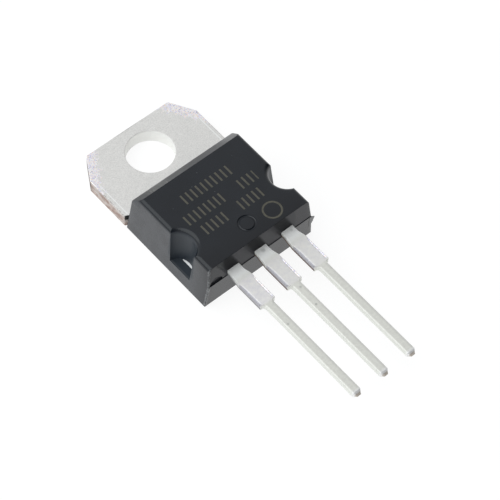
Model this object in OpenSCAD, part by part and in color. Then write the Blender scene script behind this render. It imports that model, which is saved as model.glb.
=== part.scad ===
// Three-lead voltage regulator in a flat moulded power package.
// The origin is the centre of the mounting hole on the back face of the tab.
// +Z points out of the front of the package, the leads run toward -Y.

/* [Heat-sink tab] */
// Width of the tab
tab_w = 10.2; // [9.9:0.05:10.5]
// Thickness of the tab and of the pad inside the body
tab_t = 1.27; // [1.2:0.01:1.35]
// Mounting hole diameter
hole_d = 3.8; // [3.4:0.05:4]
// Hole centre to the end edge of the tab
tab_end = 2.75; // [2.6:0.05:3]
// Corner cut of the tab, across
corner_x = 1.2; // [0.8:0.05:1.6]
// Corner cut of the tab, along
corner_y = 2; // [1.2:0.05:2.4]
// Hole centre to the shoulder where the tab starts to step in
tab_free = 3.28; // [3.1:0.02:3.4]
// Step in from the side of the tab to the side of its neck in the body
neck_in = 0.5; // [0.3:0.05:0.65]
// Length along the tab of that step
neck_run = 0.25; // [0.15:0.05:0.5]
// Hole centre to the end of that entering width
tab_neck_end = 4.3; // [4.2:0.05:4.7]
// Step in from the side of the tab to the side of the pad in the body
pad_in = 0.875; // [0.7:0.025:1.1]
// Undercut along the pad edges that the resin grips, across
lock_w = 0.3; // [0.15:0.05:0.4]
// Height of that undercut above the back face
lock_h = 0.45; // [0.3:0.05:0.6]
// Depth of the V grooves pressed across the pad
groove_depth = 0.14; // [0.08:0.02:0.2]
// Distance of the V grooves from the two ends of the pad
groove_in = 0.42; // [0.3:0.02:0.5]

/* [Moulded body] */
// How far the foot of the body stands out past each side of the tab
body_proud = 0; // [0:0.05:0.3]
// Height of the front face above the back face
body_h = 4.5; // [4.3:0.05:4.7]
// Hole centre to the foot of the body at the tab end
body_from = 3.47; // [3.42:0.01:3.6]
// Hole centre to the parting line at the lead end
body_to = 12.7; // [12.4:0.05:13]
// Draft of the two long sides in degrees
side_draft = 5.3; // [4:0.1:8]
// Draft of the tab end in degrees
tab_end_draft = 5.5; // [3:0.5:8]
// Draft of the lead end above and below the parting line in degrees
lead_end_draft = 4.5; // [2:0.5:7]
// Depth and height of the slope at the tab end
end_slope = 0.95; // [0.6:0.05:1.2]
// Rounding of the long front edges
edge_r = 0.38; // [0.3:0.02:0.5]
// Rounding of the front edge over the leads
lead_edge_r = 0.05; // [0.03:0.01:0.12]
// Offset of the lower mould half at the parting line
parting_step = 0.04; // [0.02:0.01:0.08]

/* [Side notches] */
// Hole centre to the middle of the half-round side notches
notch_y = 9.53; // [9.3:0.01:9.7]
// Distance of the notch axis outside the foot of the body
notch_out = 0.06; // [0.02:0.02:0.3]
// Notch radius on its floor
notch_r = 1.13; // [1:0.01:1.3]
// Draft of the notch wall in degrees
notch_draft = 5; // [2:0.5:6]
// Rounding of the notch rim
rim_r = 0.38; // [0.2:0.02:0.44]

/* [Leads] */
// Distance between neighbouring leads
pitch = 2.54; // [2.4:0.01:2.7]
// Height of the undersides of the leads, which is also the parting plane
lead_z = 2.55; // [2.45:0.01:2.65]
// Thickness of the leads
lead_t = 0.5; // [0.45:0.01:0.6]
// Width of the long pins
pin_w = 0.7; // [0.6:0.01:0.8]
// Width of the neck at the body
neck_w = 1.06; // [0.9:0.01:1.15]
// Width of the shoulders
shoulder_w = 1.36; // [1.25:0.01:1.5]
// Straight neck outside the body
neck_len = 0.45; // [0.3:0.05:0.6]
// Length over which the neck flares to the shoulder
flare_len = 0.85; // [0.6:0.05:1]
// Body to the end of the shoulders
shoulder_end = 3.82; // [3.4:0.02:4]
// Body to the lead tips
lead_len = 13.5; // [12.5:0.1:14.5]
// Length of the pointed tips
tip_len = 0.3; // [0.2:0.05:0.5]
// Width of the blunt end of the tips
tip_w = 0.36; // [0.2:0.02:0.5]
// Thickness of the blunt end of the tips
tip_t = 0.18; // [0.1:0.02:0.3]
// Depth of the coined scallops on the shoulders
coin_depth = 0.1; // [0.05:0.01:0.14]
// Body to the start of the scallops
coin_from = 1.35; // [1.1:0.05:1.6]
// Flat left between the edge of the pin and a scallop
coin_land = 0.15; // [0.05:0.01:0.18]
// Fillet between shoulder and pin
shoulder_fillet = 0.18; // [0.1:0.01:0.18]
// Rounding of the shoulder corners
shoulder_r = 0.1; // [0.05:0.01:0.12]

/* [Mould marks] */
// Radius of the gate scar at the lead end
gate_r = 0.58; // [0.4:0.02:0.7]
// Depth of the gate scar
gate_depth = 0.14; // [0.08:0.01:0.2]
// Foot of the long side to the middle of the gate scar
gate_in = 0.97; // [0.94:0.01:1.1]
// Outer diameter of the ring pressed into the front face
ring_d = 1.4; // [1.2:0.05:1.6]
// Width of that ring
ring_w = 0.18; // [0.1:0.01:0.22]
// Depth of that ring
ring_depth = 0.06; // [0.02:0.01:0.1]
// Lead end to the middle of that ring
ring_in = 1.58; // [1.4:0.02:1.8]

/* [Inside] */
// Inner bend radius of the step from pad to centre lead
bend_r = 0.25; // [0.2:0.01:0.35]
// Slope of the step in degrees
bend_angle = 60; // [50:1:70]
// Width of the step
step_w = 1.8; // [1.4:0.05:2]
// Body end to the end of the step
step_inset = 0.5; // [0.4:0.05:0.7]
// Width of the bond posts of the two outer leads
post_w = 2.3; // [2:0.05:2.4]
// Length of the bond posts
post_len = 1.25; // [1:0.05:1.5]
// Body end to the outer edge of the bond posts
post_inset = 0.6; // [0.5:0.05:0.8]
// Corner rounding of the bond posts
post_r = 0.2; // [0.1:0.05:0.3]
// Hole in each bond post that the resin fills
anchor_d = 0.55; // [0.4:0.05:0.6]
// Centre line of the lead to the middle of that hole, outward
anchor_off = 0.6; // [0.55:0.01:0.65]
// Chip width across the package
chip_x = 2.4; // [1.8:0.1:3]
// Chip length along the package
chip_y = 2; // [1.5:0.1:2.4]
// Chip thickness
chip_t = 0.28; // [0.2:0.01:0.35]
// Hole centre to the middle of the chip
chip_at = 7.9; // [7.4:0.05:8.2]
// Solder thickness under the chip
solder_t = 0.05; // [0.03:0.01:0.08]
// How far the solder shows round the chip
solder_rim = 0.12; // [0.05:0.01:0.2]
// Bond wire diameter
wire_d = 0.08; // [0.05:0.01:0.12]
// Bond foot diameter
foot_d = 0.24; // [0.2:0.01:0.3]
// Edge of the chip or bond post to the middle of a bond
bond_in = 0.3; // [0.25:0.01:0.4]
// Centre line of the lead to the bond on its post, inward
bond_off = 0.55; // [0.4:0.05:0.7]
// Step to the bond of the short wire on the pad
pad_bond = 0.8; // [0.74:0.02:1]
// Rise of the long wire loops above the straight line
loop_rise = 0.62; // [0.5:0.02:0.75]
// Rise of the short wire loop
short_rise = 0.38; // [0.3:0.02:0.5]

/* [Hidden] */
$fn = 64;
// Rounding circles are this much larger, so that they cross the flats they blend into
eps = 0.0005;
// Flats in each bend of the step
bend_flats = 5;

lead_top = lead_z + lead_t;
lead_y = -body_to;
tip_y = lead_y - lead_len;
tab_neck_w = tab_w - 2 * neck_in;
pad_w = tab_w - 2 * pad_in;
body_w = tab_w + 2 * body_proud;
step_mid_r = bend_r + lead_t / 2;
step_rise = lead_z + lead_t - tab_t;
step_straight = (step_rise - 2 * step_mid_r * (1 - cos(bend_angle))) / sin(bend_angle);
step_run = 2 * step_mid_r * sin(bend_angle) + step_straight * cos(bend_angle);
step_y = lead_y + step_inset;
pad_y = step_y + step_run;
pad_from = -tab_neck_end - (pad_in - neck_in);
post_y = lead_y + post_inset;
chip_z = tab_t + solder_t;
chip_top = chip_z + chip_t;
foot_h = wire_d * 1.2;
chip_bond_x = chip_x / 2 - bond_in;
chip_bond_y = -chip_at - chip_y / 2 + bond_in;
post_bond_x = pitch - bond_off;
post_bond_y = post_y + post_len - bond_in;
side_top_x = body_w / 2 - body_h * tan(side_draft);
tab_slope_y = -body_from - (body_h - end_slope) * tan(tab_end_draft);
lead_foot_y = lead_y + lead_z * tan(lead_end_draft);
lead_brow_y = lead_y + parting_step + (body_h - lead_z) * tan(lead_end_draft);

copper = [0.83, 0.83, 0.81];
resin = [0.20, 0.20, 0.21];
silicon = [0.35, 0.37, 0.42];
solder = [0.62, 0.62, 0.64];
wire_metal = [0.85, 0.85, 0.86];

// Distance from a corner to the ends of an arc of radius r that rounds it
function corner_cut(a, b, c, r) = r / tan(corner_angle(a, b, c) / 2);
function corner_angle(a, b, c) = acos((a - b) * (c - b) / (norm(a - b) * norm(c - b)));
function toward(b, a, d) = b + (a - b) * d / norm(a - b);
function arc_middle(a, b, c, r) =
    toward(b, toward(b, a, 1) / 2 + toward(b, c, 1) / 2, r / sin(corner_angle(a, b, c) / 2));

// Polygon whose outer corners are rounded with one radius each, 0 for a sharp corner
module soft_polygon(points, radii) {
    n = len(points);
    before = [for (i = [0:n - 1]) points[(i + n - 1) % n]];
    after = [for (i = [0:n - 1]) points[(i + 1) % n]];
    polygon([for (i = [0:n - 1]) each radii[i] == 0 ? [points[i]] : [
        toward(points[i], before[i], corner_cut(before[i], points[i], after[i], radii[i])),
        toward(points[i], after[i], corner_cut(before[i], points[i], after[i], radii[i]))]]);
    for (i = [0:n - 1])
        if (radii[i] > 0)
            translate(arc_middle(before[i], points[i], after[i], radii[i])) circle(radii[i] + eps);
}

// Solid whose side view is drawn in Y and Z, as wide as w across X
module side_view(w) {
    rotate([90, 0, 90]) translate([0, 0, -w / 2]) linear_extrude(w) children();
}

// Points of an arc round c from angle a0 to a1, as the flats of a bend
function bend(c, r, a0, a1) =
    [for (i = [0:bend_flats]) let (a = a0 + (a1 - a0) * i / bend_flats) c + r * [cos(a), sin(a)]];

// Half of the outline of a lead outside the body, mirrored to give both halves
module lead_plan(from_y) {
    neck = neck_w / 2;
    wide = shoulder_w / 2;
    pin = pin_w / 2;
    flare_y = lead_y - neck_len;
    wide_y = flare_y - flare_len;
    end_y = lead_y - shoulder_end;
    round_r = min(shoulder_r, wide - pin - shoulder_fillet);
    for (s = [0, 1]) mirror([s, 0]) {
        polygon([[0, from_y], [neck, from_y], [neck, flare_y], [wide, wide_y],
                 [wide, end_y + round_r], [wide - round_r, end_y], [pin, end_y],
                 [pin, tip_y + tip_len], [tip_w / 2, tip_y], [0, tip_y]]);
        translate([wide - round_r, end_y + round_r]) circle(round_r + eps);
        difference() {
            translate([0, end_y - shoulder_fillet]) square([pin + shoulder_fillet, shoulder_fillet]);
            translate([pin + shoulder_fillet, end_y - shoulder_fillet]) circle(shoulder_fillet + eps);
        }
    }
}

// Side view of the straight lead, with its pointed tip
module lead_side(from_y) {
    bevel = (lead_t - tip_t) / 2;
    polygon([[from_y, lead_z], [from_y, lead_top], [tip_y + tip_len, lead_top],
             [tip_y, lead_top - bevel], [tip_y, lead_z + bevel], [tip_y + tip_len, lead_z]]);
}

// Straight lead on the centre line, from from_y to its tip, with coined shoulders
module lead(from_y) {
    wing = (shoulder_w - pin_w) / 2 - coin_land;
    coin_r = (wing * wing + coin_depth * coin_depth) / (2 * coin_depth);
    coin_y = lead_y - shoulder_end;
    difference() {
        intersection() {
            translate([0, 0, lead_z]) linear_extrude(lead_t) lead_plan(from_y);
            side_view(shoulder_w + 1) lead_side(from_y);
        }
        for (s = [-1, 1])
            translate([s * shoulder_w / 2, coin_y - 1, lead_top + coin_r - coin_depth]) rotate([-90, 0, 0])
                cylinder(r = coin_r, h = shoulder_end - coin_from + 1);
    }
}

// Step from the pad up to the level of the leads
module step_side() {
    low = [pad_y, tab_t - lead_t / 2 + step_mid_r];
    high = [step_y, lead_z + lead_t / 2 - step_mid_r];
    r_out = bend_r + lead_t;
    polygon(concat(bend(low, bend_r, 270, 270 - bend_angle), bend(high, r_out, 90 - bend_angle, 90),
                   bend(high, bend_r, 90, 90 - bend_angle), bend(low, r_out, 270 - bend_angle, 270)));
}

// Outline of the tab and pad seen from the front
module tab_plan() {
    a = tab_w / 2;
    b = tab_neck_w / 2;
    c = pad_w / 2;
    half = [[a - corner_x, tab_end], [a, tab_end - corner_y], [a, -tab_free],
            [b, -tab_free - neck_run], [b, -tab_neck_end], [c, pad_from], [c, pad_y]];
    other = [for (i = [len(half) - 1:-1:0]) [-half[i][0], half[i][1]]];
    polygon(concat(half, other));
}

module heat_sink() {
    color(copper) difference() {
        union() {
            linear_extrude(tab_t) tab_plan();
            side_view(step_w) step_side();
            lead(step_y);
        }
        translate([0, 0, -1]) cylinder(d = hole_d, h = tab_t + 2);
        // Undercut on both long edges of the pad and on its end
        for (s = [-1, 1])
            translate([s * pad_w / 2 - lock_w, pad_y - 1, -1])
                cube([2 * lock_w, pad_from - pad_y + 1, 1 + lock_h]);
        translate([-pad_w / 2, pad_y - lock_w, -1]) cube([pad_w, 2 * lock_w, 1 + lock_h]);
        // V grooves across the pad, one inside the tab end and one before the step
        for (y = [pad_from - groove_in, pad_y + groove_in])
            translate([0, y, tab_t]) rotate([45, 0, 0])
                cube([tab_w, groove_depth * sqrt(2), groove_depth * sqrt(2)], center = true);
    }
}

// Outer lead with its bond post, drawn for the +X side
module outer_lead() {
    translate([pitch, 0, 0]) {
        lead(post_y);
        translate([-post_w / 2, 0, lead_z]) linear_extrude(lead_t) difference() {
            soft_polygon([[0, post_y], [post_w, post_y], [post_w, post_y + post_len], [0, post_y + post_len]],
                         [post_r, post_r, post_r, post_r]);
            translate([post_w / 2 + anchor_off, post_y + post_len / 2]) circle(d = anchor_d);
        }
    }
}

module adjust_lead() { color(copper) mirror([1, 0, 0]) outer_lead(); }
module input_lead() { color(copper) outer_lead(); }

module die_solder() {
    color(solder) translate([-chip_x / 2 - solder_rim, -chip_at - chip_y / 2 - solder_rim, tab_t])
        cube([chip_x + 2 * solder_rim, chip_y + 2 * solder_rim, solder_t]);
}

module silicon_die() {
    color(silicon) translate([-chip_x / 2, -chip_at - chip_y / 2, chip_z]) cube([chip_x, chip_y, chip_t]);
}

// Bond wire in an arc from a to b, standing rise above the straight line, with a flat foot at each end
module bond_wire(a, b, rise) {
    flat = norm([b[0] - a[0], b[1] - a[1]]);
    p = [0, a[2] + foot_h / 2];
    q = [flat, b[2] + foot_h / 2];
    chord = norm(q - p);
    r = (chord * chord / 4 + rise * rise) / (2 * rise);
    up = [p[1] - q[1], flat] / chord;
    middle = (p + q) / 2 - up * (r - rise);
    start = atan2(q[1] - middle[1], q[0] - middle[0]);
    sweep = 2 * asin(chord / (2 * r));
    color(wire_metal) {
        translate([a[0], a[1], 0]) rotate([0, 0, atan2(b[1] - a[1], b[0] - a[0])])
            translate([middle[0], 0, middle[1]]) rotate([90, 0, 0]) rotate([0, 0, start])
                rotate_extrude(angle = sweep) translate([r, 0]) circle(d = wire_d, $fn = 24);
        for (foot = [a, b]) translate(foot) cylinder(d = foot_d, h = foot_h, $fn = 24);
    }
}

module adjust_wire() {
    bond_wire([-chip_bond_x, chip_bond_y, chip_top], [-post_bond_x, post_bond_y, lead_top], loop_rise);
}

module input_wire() {
    bond_wire([chip_bond_x, chip_bond_y, chip_top], [post_bond_x, post_bond_y, lead_top], loop_rise);
}

module output_wire() {
    bond_wire([0, chip_bond_y, chip_top], [0, pad_y + pad_bond, tab_t], short_rise);
}

// Drafted block of the body: a front view and a side view crossed
module body_block() {
    long = 2 * (body_to + 1);
    intersection() {
        rotate([90, 0, 0]) translate([0, 0, -long / 2]) linear_extrude(long)
            soft_polygon([[-body_w / 2, 0], [body_w / 2, 0], [side_top_x, body_h], [-side_top_x, body_h]],
                         [0, 0, edge_r, edge_r]);
        side_view(body_w + 2)
            soft_polygon([[-body_from, 0], [tab_slope_y, body_h - end_slope], [tab_slope_y - end_slope, body_h],
                          [lead_brow_y, body_h], [lead_y + parting_step, lead_z], [lead_y, lead_z],
                          [lead_foot_y, 0]],
                         [0, 0, 0, lead_edge_r, 0, 0, 0]);
    }
}

// Half-round side notch that ends on the level of the pad, with a rounded rim
module notch() {
    wall_r = notch_r + (body_h - rim_r - tab_t) * tan(notch_draft);
    rim = [wall_r + rim_r / cos(notch_draft), body_h - rim_r];
    rotate_extrude() difference() {
        polygon([[0, tab_t], [notch_r, tab_t], rim - rim_r * [cos(notch_draft), -sin(notch_draft)], rim,
                 [rim[0], body_h + 1], [0, body_h + 1]]);
        translate(rim) circle(rim_r + eps);
    }
}

// Half disc left in the lead end above the parting line, where the gate was broken off
module gate_scar() {
    translate([-body_w / 2 + gate_in, lead_y + parting_step + gate_depth, lead_z]) intersection() {
        rotate([90, 0, 0]) cylinder(r = gate_r, h = 1);
        translate([-gate_r, -1, 0]) cube([2 * gate_r, 1, gate_r]);
    }
}

module pressed_ring() {
    translate([0, lead_y + ring_in, body_h - ring_depth]) difference() {
        cylinder(d = ring_d, h = 1);
        translate([0, 0, -1]) cylinder(d = ring_d - 2 * ring_w, h = 3);
    }
}

module molded_body() {
    color(resin) difference() {
        body_block();
        for (s = [-1, 1]) translate([s * (body_w / 2 + notch_out), -notch_y, 0]) notch();
        gate_scar();
        pressed_ring();
        heat_sink();
        adjust_lead();
        input_lead();
        die_solder();
        silicon_die();
        adjust_wire();
        input_wire();
        output_wire();
    }
}

heat_sink();
adjust_lead();
input_lead();
molded_body();
die_solder();
silicon_die();
adjust_wire();
input_wire();
output_wire();
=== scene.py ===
import math

import bpy
import numpy as np
from mathutils import Matrix, Vector


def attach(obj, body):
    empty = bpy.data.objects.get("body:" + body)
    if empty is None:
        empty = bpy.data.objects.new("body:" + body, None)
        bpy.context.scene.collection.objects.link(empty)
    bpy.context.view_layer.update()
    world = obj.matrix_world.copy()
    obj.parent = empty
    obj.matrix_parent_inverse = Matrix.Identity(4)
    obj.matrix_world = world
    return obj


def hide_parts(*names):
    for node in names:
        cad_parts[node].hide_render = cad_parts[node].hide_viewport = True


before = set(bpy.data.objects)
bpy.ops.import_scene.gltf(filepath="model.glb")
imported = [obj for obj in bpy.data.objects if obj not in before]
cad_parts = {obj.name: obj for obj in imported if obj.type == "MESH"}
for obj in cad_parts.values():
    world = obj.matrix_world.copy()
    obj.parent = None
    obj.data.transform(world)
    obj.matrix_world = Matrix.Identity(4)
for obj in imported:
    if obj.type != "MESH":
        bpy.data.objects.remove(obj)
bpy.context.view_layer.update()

MM = 0.001
scene = bpy.context.scene
scene.view_settings.view_transform = "Standard"

# Sizes of the part, in millimetres from the middle of the hole on the back face
TAB_HALF, TAB_T, TAB_END, TAB_FREE, NECK_RUN = 5.1, 1.27, 2.75, 3.28, 0.25
CORNER_X, CORNER_Y = 1.2, 2.0
HOLE_R = 1.9
NECK_HALF, NECK_END, PAD_HALF, PAD_FROM, PAD_TO = 4.6, 4.3, 4.225, 4.675, 10.62
LOCK_W, LOCK_H = 0.3, 0.45
BODY_H, BODY_FROM, BODY_TO = 4.5, 3.47, 12.7
SIDE_DRAFT, TAB_DRAFT, LEAD_DRAFT = math.radians(5.3), math.radians(5.5), math.radians(4.5)
SLOPE, EDGE_R, BROW_R, PARTING = 0.95, 0.38, 0.02, 0.04
BODY_LEAD_R, BODY_TAB_R, BODY_FOOT_R = 0.05, 0.09, 0.06
NOTCH_X, NOTCH_Y, NOTCH_R, NOTCH_DRAFT, RIM_R = 5.16, 9.53, 1.13, math.radians(4.7), 0.41
GATE_X, GATE_R, GATE_DEPTH = -TAB_HALF + 0.97, 0.58, 0.14
MOULD_RING = (0.0, -BODY_TO + 1.58, 0.62, 0.2, 0.08)
PITCH, LEAD_Z, LEAD_T = 2.54, 2.55, 0.5
LEAD_TOP = LEAD_Z + LEAD_T
PIN_HALF, LEAD_NECK_HALF, SHOULDER_HALF = 0.35, 0.53, 0.68
NECK_LEN, FLARE_LEN, SHOULDER_END, LEAD_LEN = 0.45, 0.85, 3.74, 13.5
SHOULDER_R, FILLET_LEN, FILLET_HALF, FLARE_LEFT = 0.05, 0.26, 0.18, 0.15
CREASE_HALF, PRESS_FROM, PRESS_DEPTH = 0.47, 1.36, 0.075
ROLL, LOW_ROLL, PIN_ROLL_RIGHT, PIN_ROLL_LEFT = 0.035, 0.04, 0.015, 0.085
TIP_LEN, TIP_HALF, TIP_T = 0.3, 0.18, 0.18
STEP_HALF, STEP_Y, BEND_R, BEND = 0.9, 12.2, 0.25, math.radians(60)
POST_HALF, POST_LEN, POST_INSET, ANCHOR_R, ANCHOR_OFF = 1.15, 1.25, 0.6, 0.275, 0.6

# Marks on the finishes, in the same millimetres: dull spots on the leads with their width and share,
# rows of laser strokes by their left, right, low and high sides, and the laser ring
TIN_SPOTS = (((-2.655, -18.785, 3.05), 0.14, 0.4), ((-0.046, -18.797, 3.05), 0.14, 0.5),
             ((0.05, -17.0, 3.05), 0.16, 0.4), ((-2.2, -16.75, 3.05), 0.16, 0.3),
             ((0.02, -12.93, 3.05), 0.26, 0.4), ((2.72, -12.9, 3.05), 0.20, 0.25))
LASER_ROWS = ((-2.3, 2.3, -7.15, -6.25), (-3.3, 0.35, -8.7, -7.8), (1.7, 3.2, -8.7, -7.8),
              (-2.8, -0.6, -10.1, -9.2), (0.55, 2.75, -10.1, -9.2))
STROKE_PITCH, STROKE_WIDTH = 0.46, 0.14
LASER_RING_X, LASER_RING_Y, LASER_RING_R = 2.15, -11.41, 0.70


# ---- camera and studio

def camera_of_photograph():
    """A long lens over the lead end, from the adjust side, 57 degrees above the table."""
    lens = bpy.data.cameras.new("camera")
    lens.sensor_width = 36
    lens.lens = 178.64
    lens.clip_start, lens.clip_end = 0.01, 10
    cam = bpy.data.objects.new("camera", lens)
    right, up = Vector((0.7632, -0.6460, 0.0137)), Vector((0.5356, 0.6444, 0.5458))
    back = Vector((-0.3614, -0.4092, 0.8378))
    turn = Matrix((right, up, back)).transposed()
    cam.matrix_world = Matrix.Translation(Vector((-65.13, -85.27, 152.42)) * MM) @ turn.to_4x4()
    scene.collection.objects.link(cam)
    scene.camera = cam


class Wiring:
    """Short calls for the nodes of one material or group."""

    def __init__(self, tree):
        self.tree = tree

    def add(self, kind, inputs=None, **props):
        node = self.tree.nodes.new(kind)
        for name, value in props.items():
            setattr(node, name, value)
        for name, value in (inputs or {}).items():
            self.put(value, node.inputs[name])
        return node

    def put(self, value, socket):
        """Links a socket, or sets a value; a colour may be given without its alpha."""
        if isinstance(value, bpy.types.NodeSocket):
            self.tree.links.new(value, socket)
        elif socket.type == "RGBA":
            socket.default_value = (*value[:3], 1)
        else:
            socket.default_value = value

    def math(self, operation, a, b=0.0, c=0.0, clamp=False):
        node = self.add("ShaderNodeMath", {0: a, 1: b, 2: c}, operation=operation, use_clamp=clamp)
        return node.outputs[0]

    def plus(self, a, b):
        return self.math("ADD", a, b)

    def minus(self, a, b):
        return self.math("SUBTRACT", a, b)

    def size(self, a):
        return self.math("ABSOLUTE", a)

    def scaled(self, a, by, more):
        """a * by + more"""
        return self.math("MULTIPLY_ADD", a, by, more)

    def times(self, *values):
        """Product of several values."""
        result = values[0]
        for value in values[1:]:
            result = self.math("MULTIPLY", result, value)
        return result

    def ramp(self, value, low, high, to_low=0.0, to_high=1.0):
        """Smooth step of value from low to high."""
        limits = {"Value": value, "From Min": low, "From Max": high, "To Min": to_low, "To Max": to_high}
        return self.add("ShaderNodeMapRange", limits, interpolation_type="SMOOTHSTEP").outputs[0]

    def mix(self, share, a, b):
        """Colour a, with b over it by share."""
        node = self.add("ShaderNodeMix", data_type="RGBA")
        self.put(share, node.inputs[0])
        self.put(a, node.inputs[6])
        self.put(b, node.inputs[7])
        return node.outputs[2]

    def noise(self, place, scale, detail=3.0, roughness=0.55):
        inputs = {"Vector": place, "Scale": scale, "Detail": detail, "Roughness": roughness}
        return self.add("ShaderNodeTexNoise", inputs).outputs["Fac"]

    def vector(self, operation, a, b):
        return self.add("ShaderNodeVectorMath", {0: a, 1: b}, operation=operation).outputs

    def in_mm(self, place):
        """The three coordinates of a place, in millimetres."""
        return [self.times(part, 1 / MM) for part in self.add("ShaderNodeSeparateXYZ", {0: place}).outputs]

    def away(self, a, b, a_mid, b_mid):
        """Distance in the plane of the coordinates a and b from the point a_mid, b_mid."""
        squares = [self.math("POWER", self.minus(part, mid), 2.0) for part, mid in ((a, a_mid), (b, b_mid))]
        return self.math("SQRT", self.plus(*squares))

    def attribute(self, name):
        return self.add("ShaderNodeAttribute", attribute_name=name).outputs["Fac"]

    def place(self, kind, **inputs):
        """One of the shared groups, with its own values; returns its outputs by name."""
        node = self.add("ShaderNodeGroup", node_tree=kind)
        for name, value in inputs.items():
            self.put(value, node.inputs[name.replace("_", " ")])
        return node.outputs


def new_group(name, inputs, outputs):
    """Empty shader node group: inputs are name and default, None for a vector; outputs are names."""
    tree = bpy.data.node_groups.new(name, "ShaderNodeTree")
    for label, value in inputs:
        kind = "NodeSocketVector" if value is None else "NodeSocketFloat"
        socket = tree.interface.new_socket(label, in_out="INPUT", socket_type=kind)
        if value is not None:
            socket.default_value = value
    for label in outputs:
        kind = "NodeSocketColor" if label == "Colour" else "NodeSocketFloat"
        tree.interface.new_socket(label, in_out="OUTPUT", socket_type=kind)
    wires = Wiring(tree)
    return tree, wires, wires.add("NodeGroupInput").outputs, wires.add("NodeGroupOutput").inputs


def new_material(name):
    made = bpy.data.materials.new(name)
    made.use_nodes = True
    made.node_tree.nodes.clear()
    wires = Wiring(made.node_tree)
    out = wires.add("ShaderNodeOutputMaterial")
    place = wires.add("ShaderNodeTexCoord").outputs["Object"]
    return made, wires, out, place


def put_skin(wires, out, colour, rough, height, strength, depth_mm, **more):
    """The surface of a material: one principled shader, with its grain as a bump of depth_mm."""
    bump = wires.add("ShaderNodeBump", {"Strength": strength, "Distance": depth_mm * MM, "Height": height})
    inputs = {"Base Color": colour, "Roughness": rough, "Normal": bump.outputs[0], **more}
    wires.put(wires.add("ShaderNodeBsdfPrincipled", inputs).outputs[0], out.inputs["Surface"])


def studio():
    """White table and white surround with one dark side, low over the leads, and a large soft lamp."""
    table = bpy.data.meshes.new("table")
    reach, z = 1.5, -0.01 * MM
    corners = [(-reach, -reach, z), (reach, -reach, z), (reach, reach, z), (-reach, reach, z)]
    table.from_pydata(corners, [], [(0, 1, 2, 3)])
    floor = bpy.data.objects.new("table", table)
    scene.collection.objects.link(floor)
    white, wires, out, _ = new_material("white_table")
    path = wires.add("ShaderNodeLightPath").outputs
    seen = wires.math("MAXIMUM", path["Is Camera Ray"], path["Is Glossy Ray"])
    seen = wires.math("MAXIMUM", seen, path["Is Transmission Ray"])
    plain = wires.add("ShaderNodeBsdfDiffuse", {"Color": (0.8, 0.8, 0.8)}).outputs[0]
    shade = wires.add("ShaderNodeBsdfDiffuse", {"Color": (0.16, 0.16, 0.16)}).outputs[0]
    glow = wires.add("ShaderNodeEmission", {"Color": (1, 1, 1), "Strength": 0.89}).outputs[0]
    lit = wires.add("ShaderNodeAddShader", {0: shade, 1: glow}).outputs[0]
    wires.put(wires.add("ShaderNodeMixShader", {0: seen, 1: plain, 2: lit}).outputs[0], out.inputs["Surface"])
    floor.data.materials.append(white)

    world = bpy.data.worlds.new("surround")
    scene.world = world
    world.use_nodes = True
    world.node_tree.nodes.clear()
    wires = Wiring(world.node_tree)
    way = wires.add("ShaderNodeTexCoord").outputs["Generated"]
    dark_side = (0.36, -0.80, 0.48)
    level = wires.ramp(wires.vector("DOT_PRODUCT", way, dark_side)["Value"], 0.30, 0.86, 0.80, 0.08)
    path = wires.add("ShaderNodeLightPath").outputs
    strength = wires.math("MAXIMUM", level, path["Is Camera Ray"])
    sky = wires.add("ShaderNodeBackground", {"Color": (0.975, 0.99, 1), "Strength": strength}).outputs[0]
    wires.put(sky, wires.add("ShaderNodeOutputWorld").inputs["Surface"])

    lamp = bpy.data.lights.new("softbox", "AREA")
    lamp.shape, lamp.size = "DISK", 1.04
    lamp.energy, lamp.color = 3.5, (0.93, 0.985, 1.0)
    box = bpy.data.objects.new("softbox", lamp)
    box.location = spot = Vector((-0.416, 0.192, 0.656))
    middle_of_part = Vector((0, -0.01, 0))
    box.rotation_euler = (spot - middle_of_part).to_track_quat("Z", "Y").to_euler()
    scene.collection.objects.link(box)


# ---- surfaces on grids

def grid_faces(rows, cols, round_rows=False, round_cols=True):
    """Quads between neighbours of a grid of rows by cols points, numbered row by row."""
    i = np.arange(rows if round_rows else rows - 1)[:, None]
    j = np.arange(cols if round_cols else cols - 1)[None, :]
    here, after, next_j = i * cols, (i + 1) % rows * cols, (j + 1) % cols
    return np.stack([here + j, after + j, after + next_j, here + next_j], -1).reshape(-1, 4)


def shell(points, faces, caps=(), **marks):
    """Closed shell turned to face outward: the signed volume of its fan triangles is made positive."""
    flat = points.reshape(-1, 3)
    polygons = [list(map(int, face)) for face in faces] + [list(map(int, cap)) for cap in caps]
    volume = sum(float(np.einsum("ij,ij->i", flat[np.full(len(p) - 2, p[0])],
                                 np.cross(flat[p[1:-1]], flat[p[2:]])).sum()) for p in polygons)
    if volume < 0:
        polygons = [p[::-1] for p in polygons]
    return flat, polygons, {name: np.broadcast_to(value, points.shape[:-1]).reshape(-1)
                            for name, value in marks.items()}


def piece(name, shells, material, sharp=32, unit=MM):
    """One object from shells in millimetres, smooth except at edges that turn more than sharp degrees."""
    points = np.concatenate([s[0] for s in shells]) * unit
    starts = np.cumsum([0] + [len(s[0]) for s in shells])
    polygons = [[k + int(start) for k in p] for s, start in zip(shells, starts) for p in s[1]]
    mesh = bpy.data.meshes.new(name)
    mesh.from_pydata(points.tolist(), [], polygons)
    for mark in sorted({key for s in shells for key in s[2]}):
        values = np.concatenate([s[2].get(mark, np.zeros(len(s[0]))) for s in shells])
        mesh.attributes.new(mark, "FLOAT", "POINT").data.foreach_set("value", values.astype(np.float32))
    finish_faces(mesh, sharp)
    mesh.materials.append(material)
    made = bpy.data.objects.new(name, mesh)
    scene.collection.objects.link(made)
    return made


def finish_faces(mesh, sharp):
    mesh.polygons.foreach_set("use_smooth", np.ones(len(mesh.polygons), dtype=bool))
    mesh.set_sharp_from_angle(angle=math.radians(sharp))
    mesh.update()


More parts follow.
